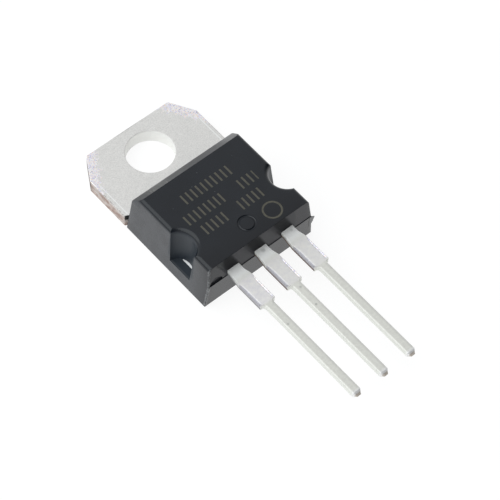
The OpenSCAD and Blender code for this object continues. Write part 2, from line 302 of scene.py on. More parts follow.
def smooth(t):
    t = np.clip(t, 0, 1)
    return t * t * (3 - 2 * t)


def lead_skin(x_mid, y_from):
    """Straight stamped lead: a rounded rectangle carried along -Y. Its half width follows the outline
    d -> h(d): neck, flare (S-shaped at +X, straight at -X), shoulder with a rounded corner and a fillet,
    pin and tip. Over the shoulders the top is pressed down outside |x| = e, where e curves in from the
    outer edge: at +X by a shallow valley, smooth(share / 0.3) deep, that climbs back by up to six tenths,
    and at -X by a bevel, smooth(share)."""
    flare_end, tip_start = NECK_LEN + FLARE_LEN, LEAD_LEN - TIP_LEN
    turn = np.linspace(0, np.pi / 2, 7)
    stretches = [np.linspace(-BODY_TO - y_from, NECK_LEN, 6)[:-1],
                 NECK_LEN + FLARE_LEN * np.linspace(0, 1, 22)[:-1],
                 np.linspace(flare_end, SHOULDER_END - SHOULDER_R, 44)[:-1],
                 SHOULDER_END - SHOULDER_R + SHOULDER_R * np.sin(turn),
                 SHOULDER_END + FILLET_LEN * (1 - np.cos(turn)),
                 np.linspace(SHOULDER_END + FILLET_LEN, tip_start, 40)[1:-1],
                 tip_start + TIP_LEN * np.linspace(0, 1, 7)]
    d = np.concatenate(stretches)
    corner = sum(len(s) for s in stretches[:3])
    fillet, pin_at, tip_at = corner + 7, corner + 14, len(d) - 7
    widening = SHOULDER_HALF - LEAD_NECK_HALF
    step = widening * smooth((d - NECK_LEN) / FLARE_LEN)
    early = widening * np.clip((d - FLARE_LEFT) / (flare_end - FLARE_LEFT), 0, 1) - step
    half = np.where(d < flare_end, LEAD_NECK_HALF + step, SHOULDER_HALF)
    half[corner:fillet] = SHOULDER_HALF - SHOULDER_R + SHOULDER_R * np.cos(turn)
    half[fillet:pin_at] = PIN_HALF + FILLET_HALF - FILLET_HALF * np.sin(turn)
    half[pin_at:] = PIN_HALF
    tip = smooth((d - tip_start) / TIP_LEN)
    half[tip_at:] = PIN_HALF + (TIP_HALF - PIN_HALF) * tip[tip_at:]
    thin = (LEAD_T - TIP_T) / 2 * tip

    def down(values):
        return values[:, None]

    h, low, top, along = down(half), down(LEAD_Z + thin), down(LEAD_TOP - thin), down(d)
    coined = smooth((along - PRESS_FROM) / 0.10) * smooth((SHOULDER_END - 0.06 - along) / 0.16)
    drop = PRESS_DEPTH * coined
    pin = smooth((along - SHOULDER_END) / 0.3)
    low_r = np.minimum(LOW_ROLL, 0.25 * h)
    r, r_left = (np.minimum(ROLL + more * pin, 0.4 * (top - low)) for more in (PIN_ROLL_RIGHT, PIN_ROLL_LEFT))
    swing = 0.15 * np.clip(1 - (along - flare_end) / 1.1, 0, 1) ** 2
    e = np.minimum(CREASE_HALF + swing, 0.95 * (h - r_left))

    outer = np.linspace(0.5, 1, 13)[1:]
    part = np.concatenate([-outer[::-1], np.linspace(-0.5, 0.5, 9), outer])[None, :]
    share = np.clip(np.abs(part) * 2 - 1, 0, 1)
    beyond = e + share * (h - np.where(part > 0, r, r_left) - e)
    x_top = np.sign(part) * np.where(np.abs(part) <= 0.5, 2 * np.abs(part) * e, beyond)

    def valley(at):
        return smooth(at / 0.3) * (1 - 0.6 * smooth((at - 0.3) / 0.8))

    z_top = top - drop * np.where(part > 0, valley(share), smooth(share))
    arc = np.linspace(np.pi / 2, 0, 6)[None, 1:]
    side = np.linspace(0, 1, 7)[None, 1:-1]

    def down_side(roll, start):
        low_arc = arc[:, ::-1]
        x = [h - roll + roll * np.cos(arc), h + 0 * side, h - low_r + low_r * np.cos(low_arc)]
        z = [start - roll + roll * np.sin(arc), (start - roll) * (1 - side) + (low + low_r) * side,
             low + low_r - low_r * np.sin(low_arc)]
        return np.concatenate(x, 1), np.concatenate(z, 1)

    right_top, left_top = top - drop * valley(1.0), top - drop
    (x_right, z_right), (x_left, z_left) = down_side(r, right_top), down_side(r_left, left_top)
    z_left = z_left[:, ::-1]
    spans = (x_top, x_right, (h - low_r) * np.linspace(1, -1, 8)[None, :], -x_left[:, ::-1])

    def around(*values):
        """Joins what is given for the top, the +X side, the back and the -X side."""
        return np.concatenate([np.broadcast_to(v, span.shape) for v, span in zip(values, spans)], 1)

    x = around(*spans)
    x = x + np.where(x < 0, x / h, 0) * down(early * (d < flare_end))
    z = around(z_top, z_right, low, z_left)
    y = np.broadcast_to(-BODY_TO - along, x.shape)
    rows, cols = x.shape
    points = np.stack([x + x_mid, y, z], -1)
    caps = [np.arange(cols), (rows - 1) * cols + np.arange(cols)[::-1]]

    top_wing = coined * np.clip(share * 4, 0, 1) * np.where(part > 0, 1.0, 0.45)
    fold = coined * np.clip(1 - np.abs(share - 0.08) * 7, 0, 1) * (part > 0.5)
    pressed = smooth((along - flare_end) / 0.2) * smooth((SHOULDER_END - 0.02 - along) / 0.04)
    top_dull = pressed * 0.85 * smooth((share - 0.1) / 0.6) * (part < 0)
    side_dull = pressed * np.clip(0.75 + 0.5 * (LEAD_TOP - z_left), 0, 1)
    sheared = np.clip((low + 0.24 - z_left) / 0.06, 0, 1)
    cut = around(0, 0.2 * sheared[:, ::-1], 0, sheared) * smooth((SHOULDER_END - along) / 0.04)
    cut[-4:] = smooth((along[-4:] - LEAD_LEN + 0.18) / 0.1)
    return shell(points, grid_faces(rows, cols), caps, cut=cut,
                 wing=around(top_wing, coined * 0.8, 0, coined * 0.1), crease=around(fold, 0, 0, 0),
                 shoulder=smooth((along - 1.0) / 0.35) * smooth((SHOULDER_END + 0.13 - along) / 0.2),
                 dull=around(top_dull, 0, 0, side_dull),
                 flank=around(0, np.clip((right_top - z_right) / 0.1, 0, 1), 1,
                              np.clip((left_top - z_left) / 0.1, 0, 1)))


def round_outline(corners, radii, spacing):
    """Closed outline through the corners, each rounded by its radius, with points every spacing or less."""
    corners = np.asarray(corners, float)
    out = []
    for a, b, c, r in zip(np.roll(corners, 1, 0), corners, np.roll(corners, -1, 0), radii):
        u, v = (a - b) / np.linalg.norm(a - b), (c - b) / np.linalg.norm(c - b)
        half = math.acos(float(np.clip(u @ v, -1, 1))) / 2
        t = r / math.tan(half)
        middle = b + (u + v) / np.linalg.norm(u + v) * r / math.sin(half)
        start, end = b + u * t - middle, b + v * t - middle
        a0 = math.atan2(start[1], start[0])
        sweep = (math.atan2(end[1], end[0]) - a0 + np.pi) % (2 * np.pi) - np.pi
        angles = a0 + np.linspace(0, sweep, 5)
        out.append(middle + r * np.stack([np.cos(angles), np.sin(angles)], 1))
    rows = []
    for here, after in zip(out, out[1:] + out[:1]):
        rows.append(here)
        gap = np.linalg.norm(after[0] - here[-1])
        n = max(int(np.ceil(gap / spacing)), 1)
        rows.append(here[-1] + (after[0] - here[-1]) * (np.arange(1, n) / n)[:, None])
    return np.concatenate(rows)


def holed_plate(outline, hole_r, z_low, z_high, roll, hole_roll, under=None, lock_h=0.0, middle=(0, 0)):
    """Plate round a hole: a closed section, hole edge, top, rolled outer edge, side, back and hole wall, is
    carried round the outline, and each of its points lies between the hole and the outline at that angle."""
    outer = outline - np.asarray(middle)
    inner = outer / np.linalg.norm(outer, axis=1)[:, None] * hole_r
    under = outer if under is None else under - np.asarray(middle)
    out_way = outer / np.linalg.norm(outer, axis=1)[:, None]
    arc = np.linspace(0, np.pi / 2, 5)
    rows, kind, wall = [], [], []

    def ring(base, reach, z, mark, punched=0.0):
        rows.append(np.concatenate([base + out_way * reach, np.full((len(base), 1), z)], 1))
        kind.append(mark)
        wall.append(punched)

    for a in arc:
        ring(inner, hole_roll * (1 - np.cos(a)), z_high - hole_roll + hole_roll * np.sin(a), 0.0, 1 - a / 1.6)
    for share in (0.04, 0.15, 0.35, 0.55, 0.75, 0.9, 0.97):
        ring(inner + (outer - inner) * share, 0, z_high, 0.0)
    for a in arc[::-1]:
        ring(outer, -roll * (1 - np.cos(a)), z_high - roll + roll * np.sin(a), 0.0)
    for share in (0.12, 0.3, 0.5, 0.75):
        z = (z_high - roll) * (1 - share) + (z_low + lock_h) * share
        ring(outer, 0, z, min(1.0, share * 3))
    if lock_h:
        ring(outer, 0, z_low + lock_h, 1.0)
        ring(under, 0, z_low + lock_h, 1.0)
        ring(under, 0, z_low + 0.02, 1.0)
    else:
        ring(outer, 0, z_low + 0.02, 1.0)
    ring(under, -0.02, z_low, 0.0)
    for share in (0.8, 0.4, 0.05):
        ring(inner + (under - inner) * share, 0, z_low, 0.0)
    ring(inner, 0.02, z_low, 0.0)
    ring(inner, 0, z_low + 0.02, 0.0, 1.0)
    ring(inner, 0, (z_low + z_high) / 2, 0.0, 1.0)
    points = np.stack(rows)
    points[..., :2] += np.asarray(middle)
    return shell(points, grid_faces(len(rows), len(outline), True, True), cut=np.asarray(kind)[:, None],
                 flank=np.asarray(wall)[:, None])


def tab_and_pad():
    """Tab and pad of the stamping: a plate round the mounting hole, undercut where the resin grips it."""
    half = [(TAB_HALF - CORNER_X, TAB_END), (TAB_HALF, TAB_END - CORNER_Y), (TAB_HALF, -TAB_FREE),
            (NECK_HALF, -TAB_FREE - NECK_RUN), (NECK_HALF, -NECK_END), (PAD_HALF, -PAD_FROM),
            (PAD_HALF, -PAD_TO)]
    radii = [0.12, 0.12, 0.05, 0.05, 0.05, 0.05, 0.05]
    other = [(-x, y) for x, y in half[::-1]]
    outline = round_outline(half + other, radii + radii[::-1], 0.1)
    sides = np.clip(outline[:, 0], -PAD_HALF + LOCK_W, PAD_HALF - LOCK_W)
    inset = np.stack([sides, np.maximum(outline[:, 1], -PAD_TO + LOCK_W)], 1)
    under = np.where((outline[:, 1] < -PAD_FROM - 0.01)[:, None], inset, outline)
    return holed_plate(outline, HOLE_R, 0.0, TAB_T, 0.045, 0.03, under, LOCK_H)


def centre_step():
    """Step from the pad up to the centre lead: a rectangle carried along two bends in the Y and Z plane."""
    mid_r = BEND_R + LEAD_T / 2
    rise = LEAD_Z + LEAD_T - TAB_T
    straight = (rise - 2 * mid_r * (1 - math.cos(BEND))) / math.sin(BEND)
    low_y = -STEP_Y + 2 * mid_r * math.sin(BEND) + straight * math.cos(BEND)
    a = np.linspace(0, BEND, 7)
    y = np.concatenate([[low_y + 0.4], low_y - mid_r * np.sin(a), -STEP_Y + mid_r * np.sin(a[::-1]),
                        [-STEP_Y - 0.1]])
    z = np.concatenate([[TAB_T - LEAD_T / 2], TAB_T - LEAD_T / 2 + mid_r * (1 - np.cos(a)),
                        LEAD_Z + LEAD_T / 2 - mid_r * (1 - np.cos(a[::-1])), [LEAD_Z + LEAD_T / 2]])
    tilt = np.concatenate([[0], a, a[::-1], [0]])
    side = np.array([[-1, -1], [1, -1], [1, 1], [-1, 1]]) * [STEP_HALF, LEAD_T / 2]
    points = np.stack([np.broadcast_to(side[None, :, 0], (len(y), 4)),
                       y[:, None] + side[None, :, 1] * np.sin(tilt)[:, None],
                       z[:, None] + side[None, :, 1] * np.cos(tilt)[:, None]], -1)
    n = len(y)
    return shell(points, grid_faces(n, 4), [np.arange(4), (n - 1) * 4 + np.arange(4)[::-1]], cut=0.0)


def bond_post(side):
    """Bond post of an outer lead: a plate round the hole that the resin fills."""
    x, y = side * PITCH, -BODY_TO + POST_INSET
    corners = [(x + POST_HALF, y + POST_LEN), (x + POST_HALF, y), (x - POST_HALF, y),
               (x - POST_HALF, y + POST_LEN)]
    outline = round_outline(corners, [0.2] * 4, 0.12)
    middle = (x + side * ANCHOR_OFF, y + POST_LEN / 2)
    return holed_plate(outline, ANCHOR_R, LEAD_Z, LEAD_TOP, 0.04, 0.03, middle=middle)


def body_levels():
    """Levels of the moulded block from its foot to its front face: for each, its height, the half width of
    its sides, and where its tab end and its lead end lie. Straight drafts, ended above by the round of the
    long edges, the 45 degree slope and the small round of the brow."""
    foot = BODY_FOOT_R
    start = BODY_H - EDGE_R * (1 - math.sin(SIDE_DRAFT))
    arc = np.linspace(SIDE_DRAFT, np.pi / 2, 12)
    round_z = BODY_H - EDGE_R + EDGE_R * np.sin(arc)
    brow = BODY_H - BROW_R + BROW_R * np.sin(np.linspace(0.08, np.pi / 2, 6))
    slope_z = BODY_H - SLOPE
    z = np.unique(np.round(np.concatenate([
        [0.0, 0.01, 0.03, foot, 0.12, 0.5, 1.0, 1.6, 2.1, 2.45, LEAD_Z - 0.03, LEAD_Z - 0.012, LEAD_Z],
        [2.6, 2.8, 3.1, 3.35], slope_z + np.array([-0.08, -0.05, -0.02, 0.0, 0.03, 0.06, 0.1]),
        [3.9, start - 0.03], round_z, brow, [BODY_H - 0.02, BODY_H]]), 5))
    top_x = TAB_HALF - BODY_H * math.tan(SIDE_DRAFT)
    reach = EDGE_R * math.tan((np.pi / 2 - SIDE_DRAFT) / 2)
    centre_x = top_x - reach
    up = np.clip((z - BODY_H + EDGE_R) / EDGE_R, -1, 1)
    rounded = centre_x + EDGE_R * np.sqrt(1 - np.clip(up, 0, 1) ** 2)
    side = np.where(z > BODY_H - EDGE_R + EDGE_R * math.sin(SIDE_DRAFT), rounded,
                    TAB_HALF - z * math.tan(SIDE_DRAFT))
    soft = 0.0175 * np.exp(-((z - slope_z) / 0.05) ** 2)
    sloped = np.maximum(z - slope_z, 0) * (1 - math.tan(TAB_DRAFT))
    tab_y = -BODY_FROM - z * math.tan(TAB_DRAFT) - sloped - soft
    lower = -BODY_TO + (LEAD_Z - z) * math.tan(LEAD_DRAFT)
    upper = -BODY_TO + PARTING + (z - LEAD_Z) * math.tan(LEAD_DRAFT)
    brow_up = np.clip((z - BODY_H + BROW_R) / BROW_R, 0, 1)
    upper = upper + BROW_R * (1 - np.sqrt(1 - brow_up ** 2))
    lead_y = np.where(z <= LEAD_Z, lower, upper)
    under = np.clip((foot - z) / foot, 0, 1)
    turn_in = foot * (1 - np.sqrt(1 - under ** 2))
    return z, side - turn_in, tab_y - turn_in, lead_y + turn_in


def body_block():
    """Drafted block: for each level a rectangle with rounded corners, its points at the same shares of
    the four sides, so that the levels join into one skin."""
    z, side, tab_y, lead_y = body_levels()
    k = int(np.argmin(np.abs(z - LEAD_Z)))
    z = np.insert(z, k + 1, LEAD_Z)
    side, tab_y = np.insert(side, k + 1, side[k]), np.insert(tab_y, k + 1, tab_y[k])
    lead_y = np.insert(lead_y, k + 1, -BODY_TO + PARTING)
    lead_r, tab_r = BODY_LEAD_R, BODY_TAB_R
    turn = np.linspace(0, np.pi / 2, 7)
    edge = np.linspace(0, 1, 14)[1:-1]
    end = np.linspace(-1, 1, 22)[1:-1]

    def levels(values):
        return np.asarray(values)[:, None]

    s, t, l = levels(side), levels(tab_y), levels(lead_y)
    x = np.concatenate([s - lead_r + lead_r * np.sin(turn), s + 0 * edge, s - tab_r + tab_r * np.cos(turn),
                        -(s - tab_r) * end, -s + tab_r - tab_r * np.sin(turn), -s + 0 * edge,
                        -s + lead_r - lead_r * np.cos(turn), (s - lead_r) * end], 1)
    run = (l + lead_r) + (t - tab_r - l - lead_r) * edge
    y = np.concatenate([l + lead_r - lead_r * np.cos(turn), run, t - tab_r + tab_r * np.sin(turn),
                        t + 0 * end, t - tab_r + tab_r * np.cos(turn), run[:, ::-1],
                        l + lead_r - lead_r * np.sin(turn), l + 0 * end], 1)
    rows, cols = x.shape
    points = np.stack([x, y, np.broadcast_to(levels(z), x.shape)], -1)
    points[0, :, 2] += 0.012
    caps = [np.arange(cols), (rows - 1) * cols + np.arange(cols)[::-1]]
    return shell(points, grid_faces(rows, cols), caps)


def turned(profile, middle, steps):
    """Surface of revolution: the profile's points (radius, height) carried round the axis through middle.
    Its first and last points lie on the axis."""
    profile = np.asarray(profile, float)
    a = np.linspace(0, 2 * np.pi, steps, endpoint=False)[None, :]
    body = profile[1:-1]
    points = np.stack([middle[0] + body[:, :1] * np.cos(a), middle[1] + body[:, :1] * np.sin(a),
                       np.broadcast_to(body[:, 1:], (len(body), steps))], -1)
    rows = len(body)
    caps = [np.arange(steps), (rows - 1) * steps + np.arange(steps)[::-1]]
    return shell(points, grid_faces(rows, steps), caps)


def notch_cutter(side):
    """Drafted half-round notch with a rolled rim, as the solid that is taken away."""
    wall = NOTCH_R + (BODY_H - RIM_R - TAB_T) * math.tan(NOTCH_DRAFT)
    rim_x, rim_z = wall + RIM_R / math.cos(NOTCH_DRAFT), BODY_H - RIM_R
    a = np.linspace(np.pi + NOTCH_DRAFT, np.pi / 2, 9)[:, None]
    rim = np.concatenate([rim_x + RIM_R * np.cos(a), rim_z + RIM_R * np.sin(a)], 1)
    foot, ground = 0.02, TAB_T - 0.01
    b = np.linspace(-np.pi / 2, -NOTCH_DRAFT, 5)[:, None]
    floor = np.concatenate([NOTCH_R - foot + foot * np.cos(b), ground + foot + foot * np.sin(b)], 1)
    beyond = [[rim_x + 0.4, BODY_H + 0.0002], [rim_x + 0.4, BODY_H + 0.5], [0, BODY_H + 0.5]]
    profile = np.concatenate([[[0, ground]], floor, rim, beyond])
    return turned(profile, (side * NOTCH_X, -NOTCH_Y), 96)


def gate_cutter():
    """Half disc broken out of the lead end above the parting line, where the moulding gate sat."""
    a = np.linspace(0, np.pi, 25)
    r = GATE_R * (1 + 0.03 * np.sin(5 * a) + 0.02 * np.sin(11 * a + 1))
    x, z = GATE_X + r * np.cos(a), LEAD_Z + r * np.sin(a)
    wall, wider = -BODY_TO + PARTING + GATE_DEPTH, 0.02
    back = np.stack([x, np.full_like(x, wall), z], -1)
    front = np.stack([x + wider * np.cos(a), np.full_like(x, -BODY_TO - 0.5), z + wider * np.sin(a)], -1)
    points = np.stack([back, front])
    n = len(a)
    return shell(points, grid_faces(2, n), [np.arange(n), n + np.arange(n)[::-1]])


def ring_cutter(x, y, radius, width, depth):
    """Ring pressed into the front face: a shallow round-bottomed groove's section carried round a circle."""
    a = np.linspace(0, 2 * np.pi, 72, endpoint=False)[:, None]
    b = np.linspace(np.pi, 2 * np.pi, 7)
    r = np.concatenate([radius + width / 2 * np.cos(b), [radius + width / 2, radius - width / 2]])[None, :]
    z = np.concatenate([BODY_H + 0.001 + depth * np.sin(b), [BODY_H + 0.1, BODY_H + 0.1]])[None, :]
    points = np.stack([x + r * np.cos(a), y + r * np.sin(a), np.broadcast_to(z, (72, r.shape[1]))], -1)
    return shell(points, grid_faces(72, r.shape[1], True, True))


def cut_away(target, name, shells):
    """Takes the shells away from the target with an exact Boolean, whose result stays in its mesh."""
    tool = piece(name, shells, target.data.materials[0], unit=1.0)
    cut = target.modifiers.new(name, "BOOLEAN")
    cut.operation, cut.solver, cut.object = "DIFFERENCE", "EXACT", tool
    made = bpy.data.meshes.new_from_object(target.evaluated_get(bpy.context.evaluated_depsgraph_get()))
    target.modifiers.clear()
    old, target.data = target.data, made
    made.name = target.name
    bpy.data.meshes.remove(old)
    mesh = tool.data
    bpy.data.objects.remove(tool)
    bpy.data.meshes.remove(mesh)


def parting_flash():
    """Thin flap of resin at the +X end of the parting line, in the plane of the lower lead end. Down its
    height v it reaches past the corner by 0.25 (1 - v) (1 + 2.4 v (1 - v)), with two sines on its ragged
    edge, and it droops toward that edge."""
    u, v = np.meshgrid(np.linspace(0, 1, 13), np.linspace(0, 1, 25), indexing="ij")
    ragged = 1 + 0.10 * np.sin(11 * v + 0.6) + 0.06 * np.sin(29 * v)
    corner = TAB_HALF - LEAD_Z * math.tan(SIDE_DRAFT)
    past = 0.25 * (1 - v) * (1 + 2.4 * v * (1 - v)) * ragged
    x = corner - 0.20 + u * (0.20 + past)
    outward = np.clip((x - corner) / np.maximum(past, 1e-6), 0, 1)
    z = LEAD_Z - 0.01 - 1.28 * v - 0.22 * (1 - v) * outward
    y = -BODY_TO + np.clip(LEAD_Z - z, 0, None) * math.tan(LEAD_DRAFT)
    thick = 0.04 * (1 - 0.6 * u)
    front = np.stack([x, y - 0.012, z], -1)
    back = np.stack([x, y + thick, z], -1)
    rows, cols = u.shape
    last = (rows - 1) * cols
    rim = np.concatenate([np.arange(cols), np.arange(1, rows) * cols + cols - 1,
                          last + np.arange(cols - 1)[::-1], np.arange(1, rows - 1)[::-1] * cols])
    sheet = grid_faces(rows, cols, False, False)
    n = rows * cols
    hem = np.stack([rim, np.roll(rim, -1), np.roll(rim, -1) + n, rim + n], 1)
    points = np.concatenate([front.reshape(-1, 3), back.reshape(-1, 3)])
    return shell(points, np.concatenate([sheet[:, ::-1], sheet + n, hem]))


# ---- shared effects

def grain_group():
    """Fine grain of a plated or moulded surface: two sizes of noise, as a tone round 0.5 and a height."""
    inputs = [("Place", None), ("Per mm", 9.0), ("Contrast", 1.0)]
    tree, wires, given, result = new_group("fine_grain", inputs, ["Tone", "Height"])
    scale = wires.times(given["Per mm"], 1 / MM)
    fine = wires.noise(given["Place"], scale, 2.0, 0.7)
    coarse = wires.noise(given["Place"], wires.times(scale, 0.31), 2.0, 0.6)
    both = wires.scaled(coarse, 0.25, wires.times(fine, 0.75))
    slope = wires.times(given["Contrast"], 2.6)
    wires.put(wires.math("MULTIPLY_ADD", wires.minus(both, 0.5), slope, 0.5, clamp=True), result["Tone"])
    wires.put(both, result["Height"])
    return tree


def cloud_group():
    """Broad uneven patches, as a mask between two levels of a slow noise."""
    inputs = [("Place", None), ("Per mm", 0.5), ("Low", 0.45), ("High", 0.7)]
    tree, wires, given, result = new_group("uneven_patches", inputs, ["Mask"])
    noise = wires.noise(given["Place"], wires.times(given["Per mm"], 1 / MM), 4.0, 0.6)
    wires.put(wires.ramp(noise, given["Low"], given["High"]), result["Mask"])
    return tree


def burnish_group():
    """Tin rubbed bright against the carrier: tiny flakes that shine lilac, blue, rose and amber."""
    inputs = [("Place", None), ("Per mm", 9.0), ("Amount", 1.0)]
    tree, wires, given, result = new_group("burnished_flakes", inputs, ["Colour", "Mask"])
    place, amount, scale = given["Place"], given["Amount"], wires.times(given["Per mm"], 1 / MM)
    flake = wires.add("ShaderNodeTexVoronoi", {"Vector": place, "Scale": scale}, feature="F1")
    hue, depth, odd = wires.add("ShaderNodeSeparateColor", {0: flake.outputs["Color"]}).outputs
    zone = wires.noise(place, wires.times(scale, 0.16), 2.0, 0.5)
    tint = wires.mix(wires.ramp(hue, 0.34, 0.56), (1.0, 0.78, 0.72), (0.66, 0.66, 0.93))
    tint = wires.mix(wires.ramp(hue, 0.82, 0.92), tint, (0.95, 0.74, 0.50))
    ground = wires.mix(wires.ramp(zone, 0.36, 0.50), (0.92, 0.90, 0.98), (1.0, 0.98, 0.97))
    pale = wires.mix(wires.ramp(depth, 0.35, 0.85), ground, tint)
    wires.put(wires.mix(wires.ramp(odd, 0.88, 0.97), pale, (0.46, 0.46, 0.62)), result["Colour"])
    drift = wires.minus(wires.noise(place, wires.times(scale, 0.22), 3.0, 0.7), 0.5)
    worn = wires.ramp(wires.plus(amount, wires.times(drift, 1.8)), 0.30, 0.60)
    wires.put(wires.times(worn, wires.ramp(amount, 0.0, 0.12)), result["Mask"])
    return tree


def stroke_group():
    """A row of plain upright laser strokes: inside a rectangle, each pitch has one stroke of the width."""
    inputs = [("X", 0.0), ("Y", 0.0), ("Left", -1.0), ("Right", 1.0), ("Low", -1.0), ("High", 1.0),
              ("Pitch", 0.4), ("Width", 0.13)]
    tree, wires, given, result = new_group("laser_strokes", inputs, ["Mask"])
    soft, lead_in = 0.035, 0.03

    def band(value, low, high):
        return wires.times(wires.ramp(wires.minus(value, low), -soft, soft),
                           wires.ramp(wires.minus(high, value), -soft, soft))

    within = wires.times(band(given["X"], given["Left"], given["Right"]),
                         band(given["Y"], given["Low"], given["High"]))
    turn = wires.math("FLOORED_MODULO", wires.minus(given["X"], given["Left"]), given["Pitch"])
    wires.put(wires.times(within, band(turn, lead_in, wires.plus(given["Width"], lead_in))), result["Mask"])
    return tree


# ---- finishes

def tin_base(shared, name, clean, dark, grain_mm):
    """Start of a tin finish: satin tin with fine grain and faint duller patches."""
    made, wires, out, place = new_material(name)
    grain = wires.place(shared["grain"], Place=place, Per_mm=grain_mm, Contrast=1.0)
    patches = wires.place(shared["patches"], Place=place, Per_mm=0.45, Low=0.42, High=0.72)["Mask"]
    colour = wires.mix(grain["Tone"], dark, clean)
    colour = wires.mix(wires.times(patches, 0.07), colour, (0.56, 0.57, 0.55))
    return made, wires, out, place, grain, colour


def tin_flakes(shared, wires, place, amount, colour):
    """The burnished flakes over the tin, and their mask."""
    flakes = wires.place(shared["flakes"], Place=place, Per_mm=15.0, Amount=amount)
    return wires.mix(wires.times(flakes["Mask"], 0.85), colour, flakes["Colour"]), flakes["Mask"]


def tear_marks(wires, place):
    """Noise drawn out along Y, for where shearing tore the plating."""
    return wires.noise(wires.vector("MULTIPLY", place, (1, 0.14, 1))["Vector"], 5.0 / MM, 3.0, 0.7)


def tin_skin(wires, out, grain, colour, metal, rubbed, flank, cut):
    """Gloss and grain of tin: rubbed and rolled faces are smoother, sheared faces rougher."""
    rough = wires.plus(0.52, wires.times(grain["Tone"], 0.10))
    rough = wires.minus(rough, wires.times(rubbed, 0.14))
    rough = wires.minus(rough, wires.times(flank, 0.12))
    rough = wires.plus(rough, wires.times(cut, 0.2))
    height = wires.times(grain["Height"], wires.minus(1.0, wires.times(flank, 0.85)))
    put_skin(wires, out, colour, rough, height, 0.35, 0.006, Metallic=metal)


def tinned_tab(shared):
    """Tin of the tab: corners burnished as far as 1.35 mm in from the chamfers, a painted highlight along the
    roll on both sides, a worn rim, sheared copper on the sides, brown chamfers, painted light on the pad in
    the notches and a painted shadow in the slot beside the neck."""
    made, wires, out, place, grain, colour = tin_base(shared, "tinned_tab", (0.905, 0.885, 0.861),
                                                      (0.680, 0.662, 0.643), 9.5)
    x, y, z = wires.in_mm(place)
    cut, flank = wires.attribute("cut"), wires.attribute("flank")
    across = wires.size(x)
    from_side = wires.minus(TAB_HALF, across)
    to_x, to_y = (side / math.hypot(CORNER_X, CORNER_Y) for side in (CORNER_Y, CORNER_X))
    chamfer_at = TAB_HALF * to_x + (TAB_END - CORNER_Y) * to_y
    toward = wires.plus(wires.times(across, to_x), wires.times(y, to_y))
    near = wires.math("SUBTRACT", 1.0, wires.times(wires.minus(chamfer_at, toward), 1 / 1.35), clamp=True)
    on_top = wires.ramp(z, 1.1, 1.2)

    # Painted highlight: a pale band 0.24 to 0.37 mm in from each side stands in for the light on the die roll
    roll = wires.times(wires.ramp(from_side, 0.24, 0.30), wires.ramp(from_side, 0.37, 0.31),
                       wires.ramp(y, 1.0, 0.4), on_top)
    colour = wires.mix(wires.times(roll, 0.75), colour, (1.0, 1.0, 0.99))
    # Painted light: the pad top inside the notches is painted white and made less metallic, as if lit
    notch_pad_painted_light = wires.times(wires.ramp(across, 4.0, 4.05), wires.ramp(y, -8.0, -8.3))
    colour = wires.mix(notch_pad_painted_light, colour, (1.0, 1.0, 1.0))
    rim = wires.times(wires.ramp(from_side, 0.07, 0.03), wires.ramp(z, 1.16, 1.20), wires.ramp(y, 0.9, 0.7),
                      wires.ramp(wires.noise(place, 9.0 / MM, 2.0, 0.6), 0.40, 0.55))
    colour = wires.mix(wires.times(rim, 0.6), colour, (0.20, 0.17, 0.16))
    colour, rubbed = tin_flakes(shared, wires, place, wires.times(near, on_top), colour)
    colour = wires.mix(wires.times(flank, 0.9), colour, (1.0, 1.0, 0.97))

    tear = tear_marks(wires, place)
    worn = wires.noise(wires.vector("MULTIPLY", place, (0.6, 1, 1))["Vector"], 1.7 / MM, 2.0, 0.6)
    copper = wires.mix(wires.ramp(worn, 0.40, 0.58), (0.36, 0.225, 0.18), (0.60, 0.475, 0.42))
    copper = wires.mix(wires.ramp(worn, 0.54, 0.66, 0.0, 0.6), copper, (0.52, 0.49, 0.475))
    bare = wires.times(cut, wires.ramp(tear, 0.34, 0.60, 0.60, 1.0))
    colour = wires.mix(wires.times(bare, 0.85), colour, copper)
    burr = wires.times(cut, wires.ramp(z, 1.12, 1.18), wires.ramp(z, 1.26, 1.23),
                       wires.ramp(tear, 0.40, 0.56, 0.3, 0.8))
    colour = wires.mix(burr, colour, (0.16, 0.12, 0.11))
    chamfer = wires.times(cut, wires.ramp(toward, chamfer_at - 0.059, chamfer_at - 0.019))
    colour = wires.mix(wires.times(chamfer, 0.9), colour, (0.14, 0.11, 0.10))
    # Painted shadow: the slot between the tab's step and the resin is painted near black
    slot_painted_shadow = wires.times(wires.ramp(y, -TAB_FREE + 0.01, -TAB_FREE - 0.03),
                         wires.ramp(across, NECK_HALF - 0.1, NECK_HALF),
                         wires.ramp(z, TAB_T, TAB_T - 0.03), wires.ramp(z, 0.62, 0.80))
    colour = wires.mix(slot_painted_shadow, colour, (0.03, 0.03, 0.03))
    tin_skin(wires, out, grain, colour, wires.scaled(notch_pad_painted_light, -0.5, 0.5), rubbed, flank, cut)
    return made


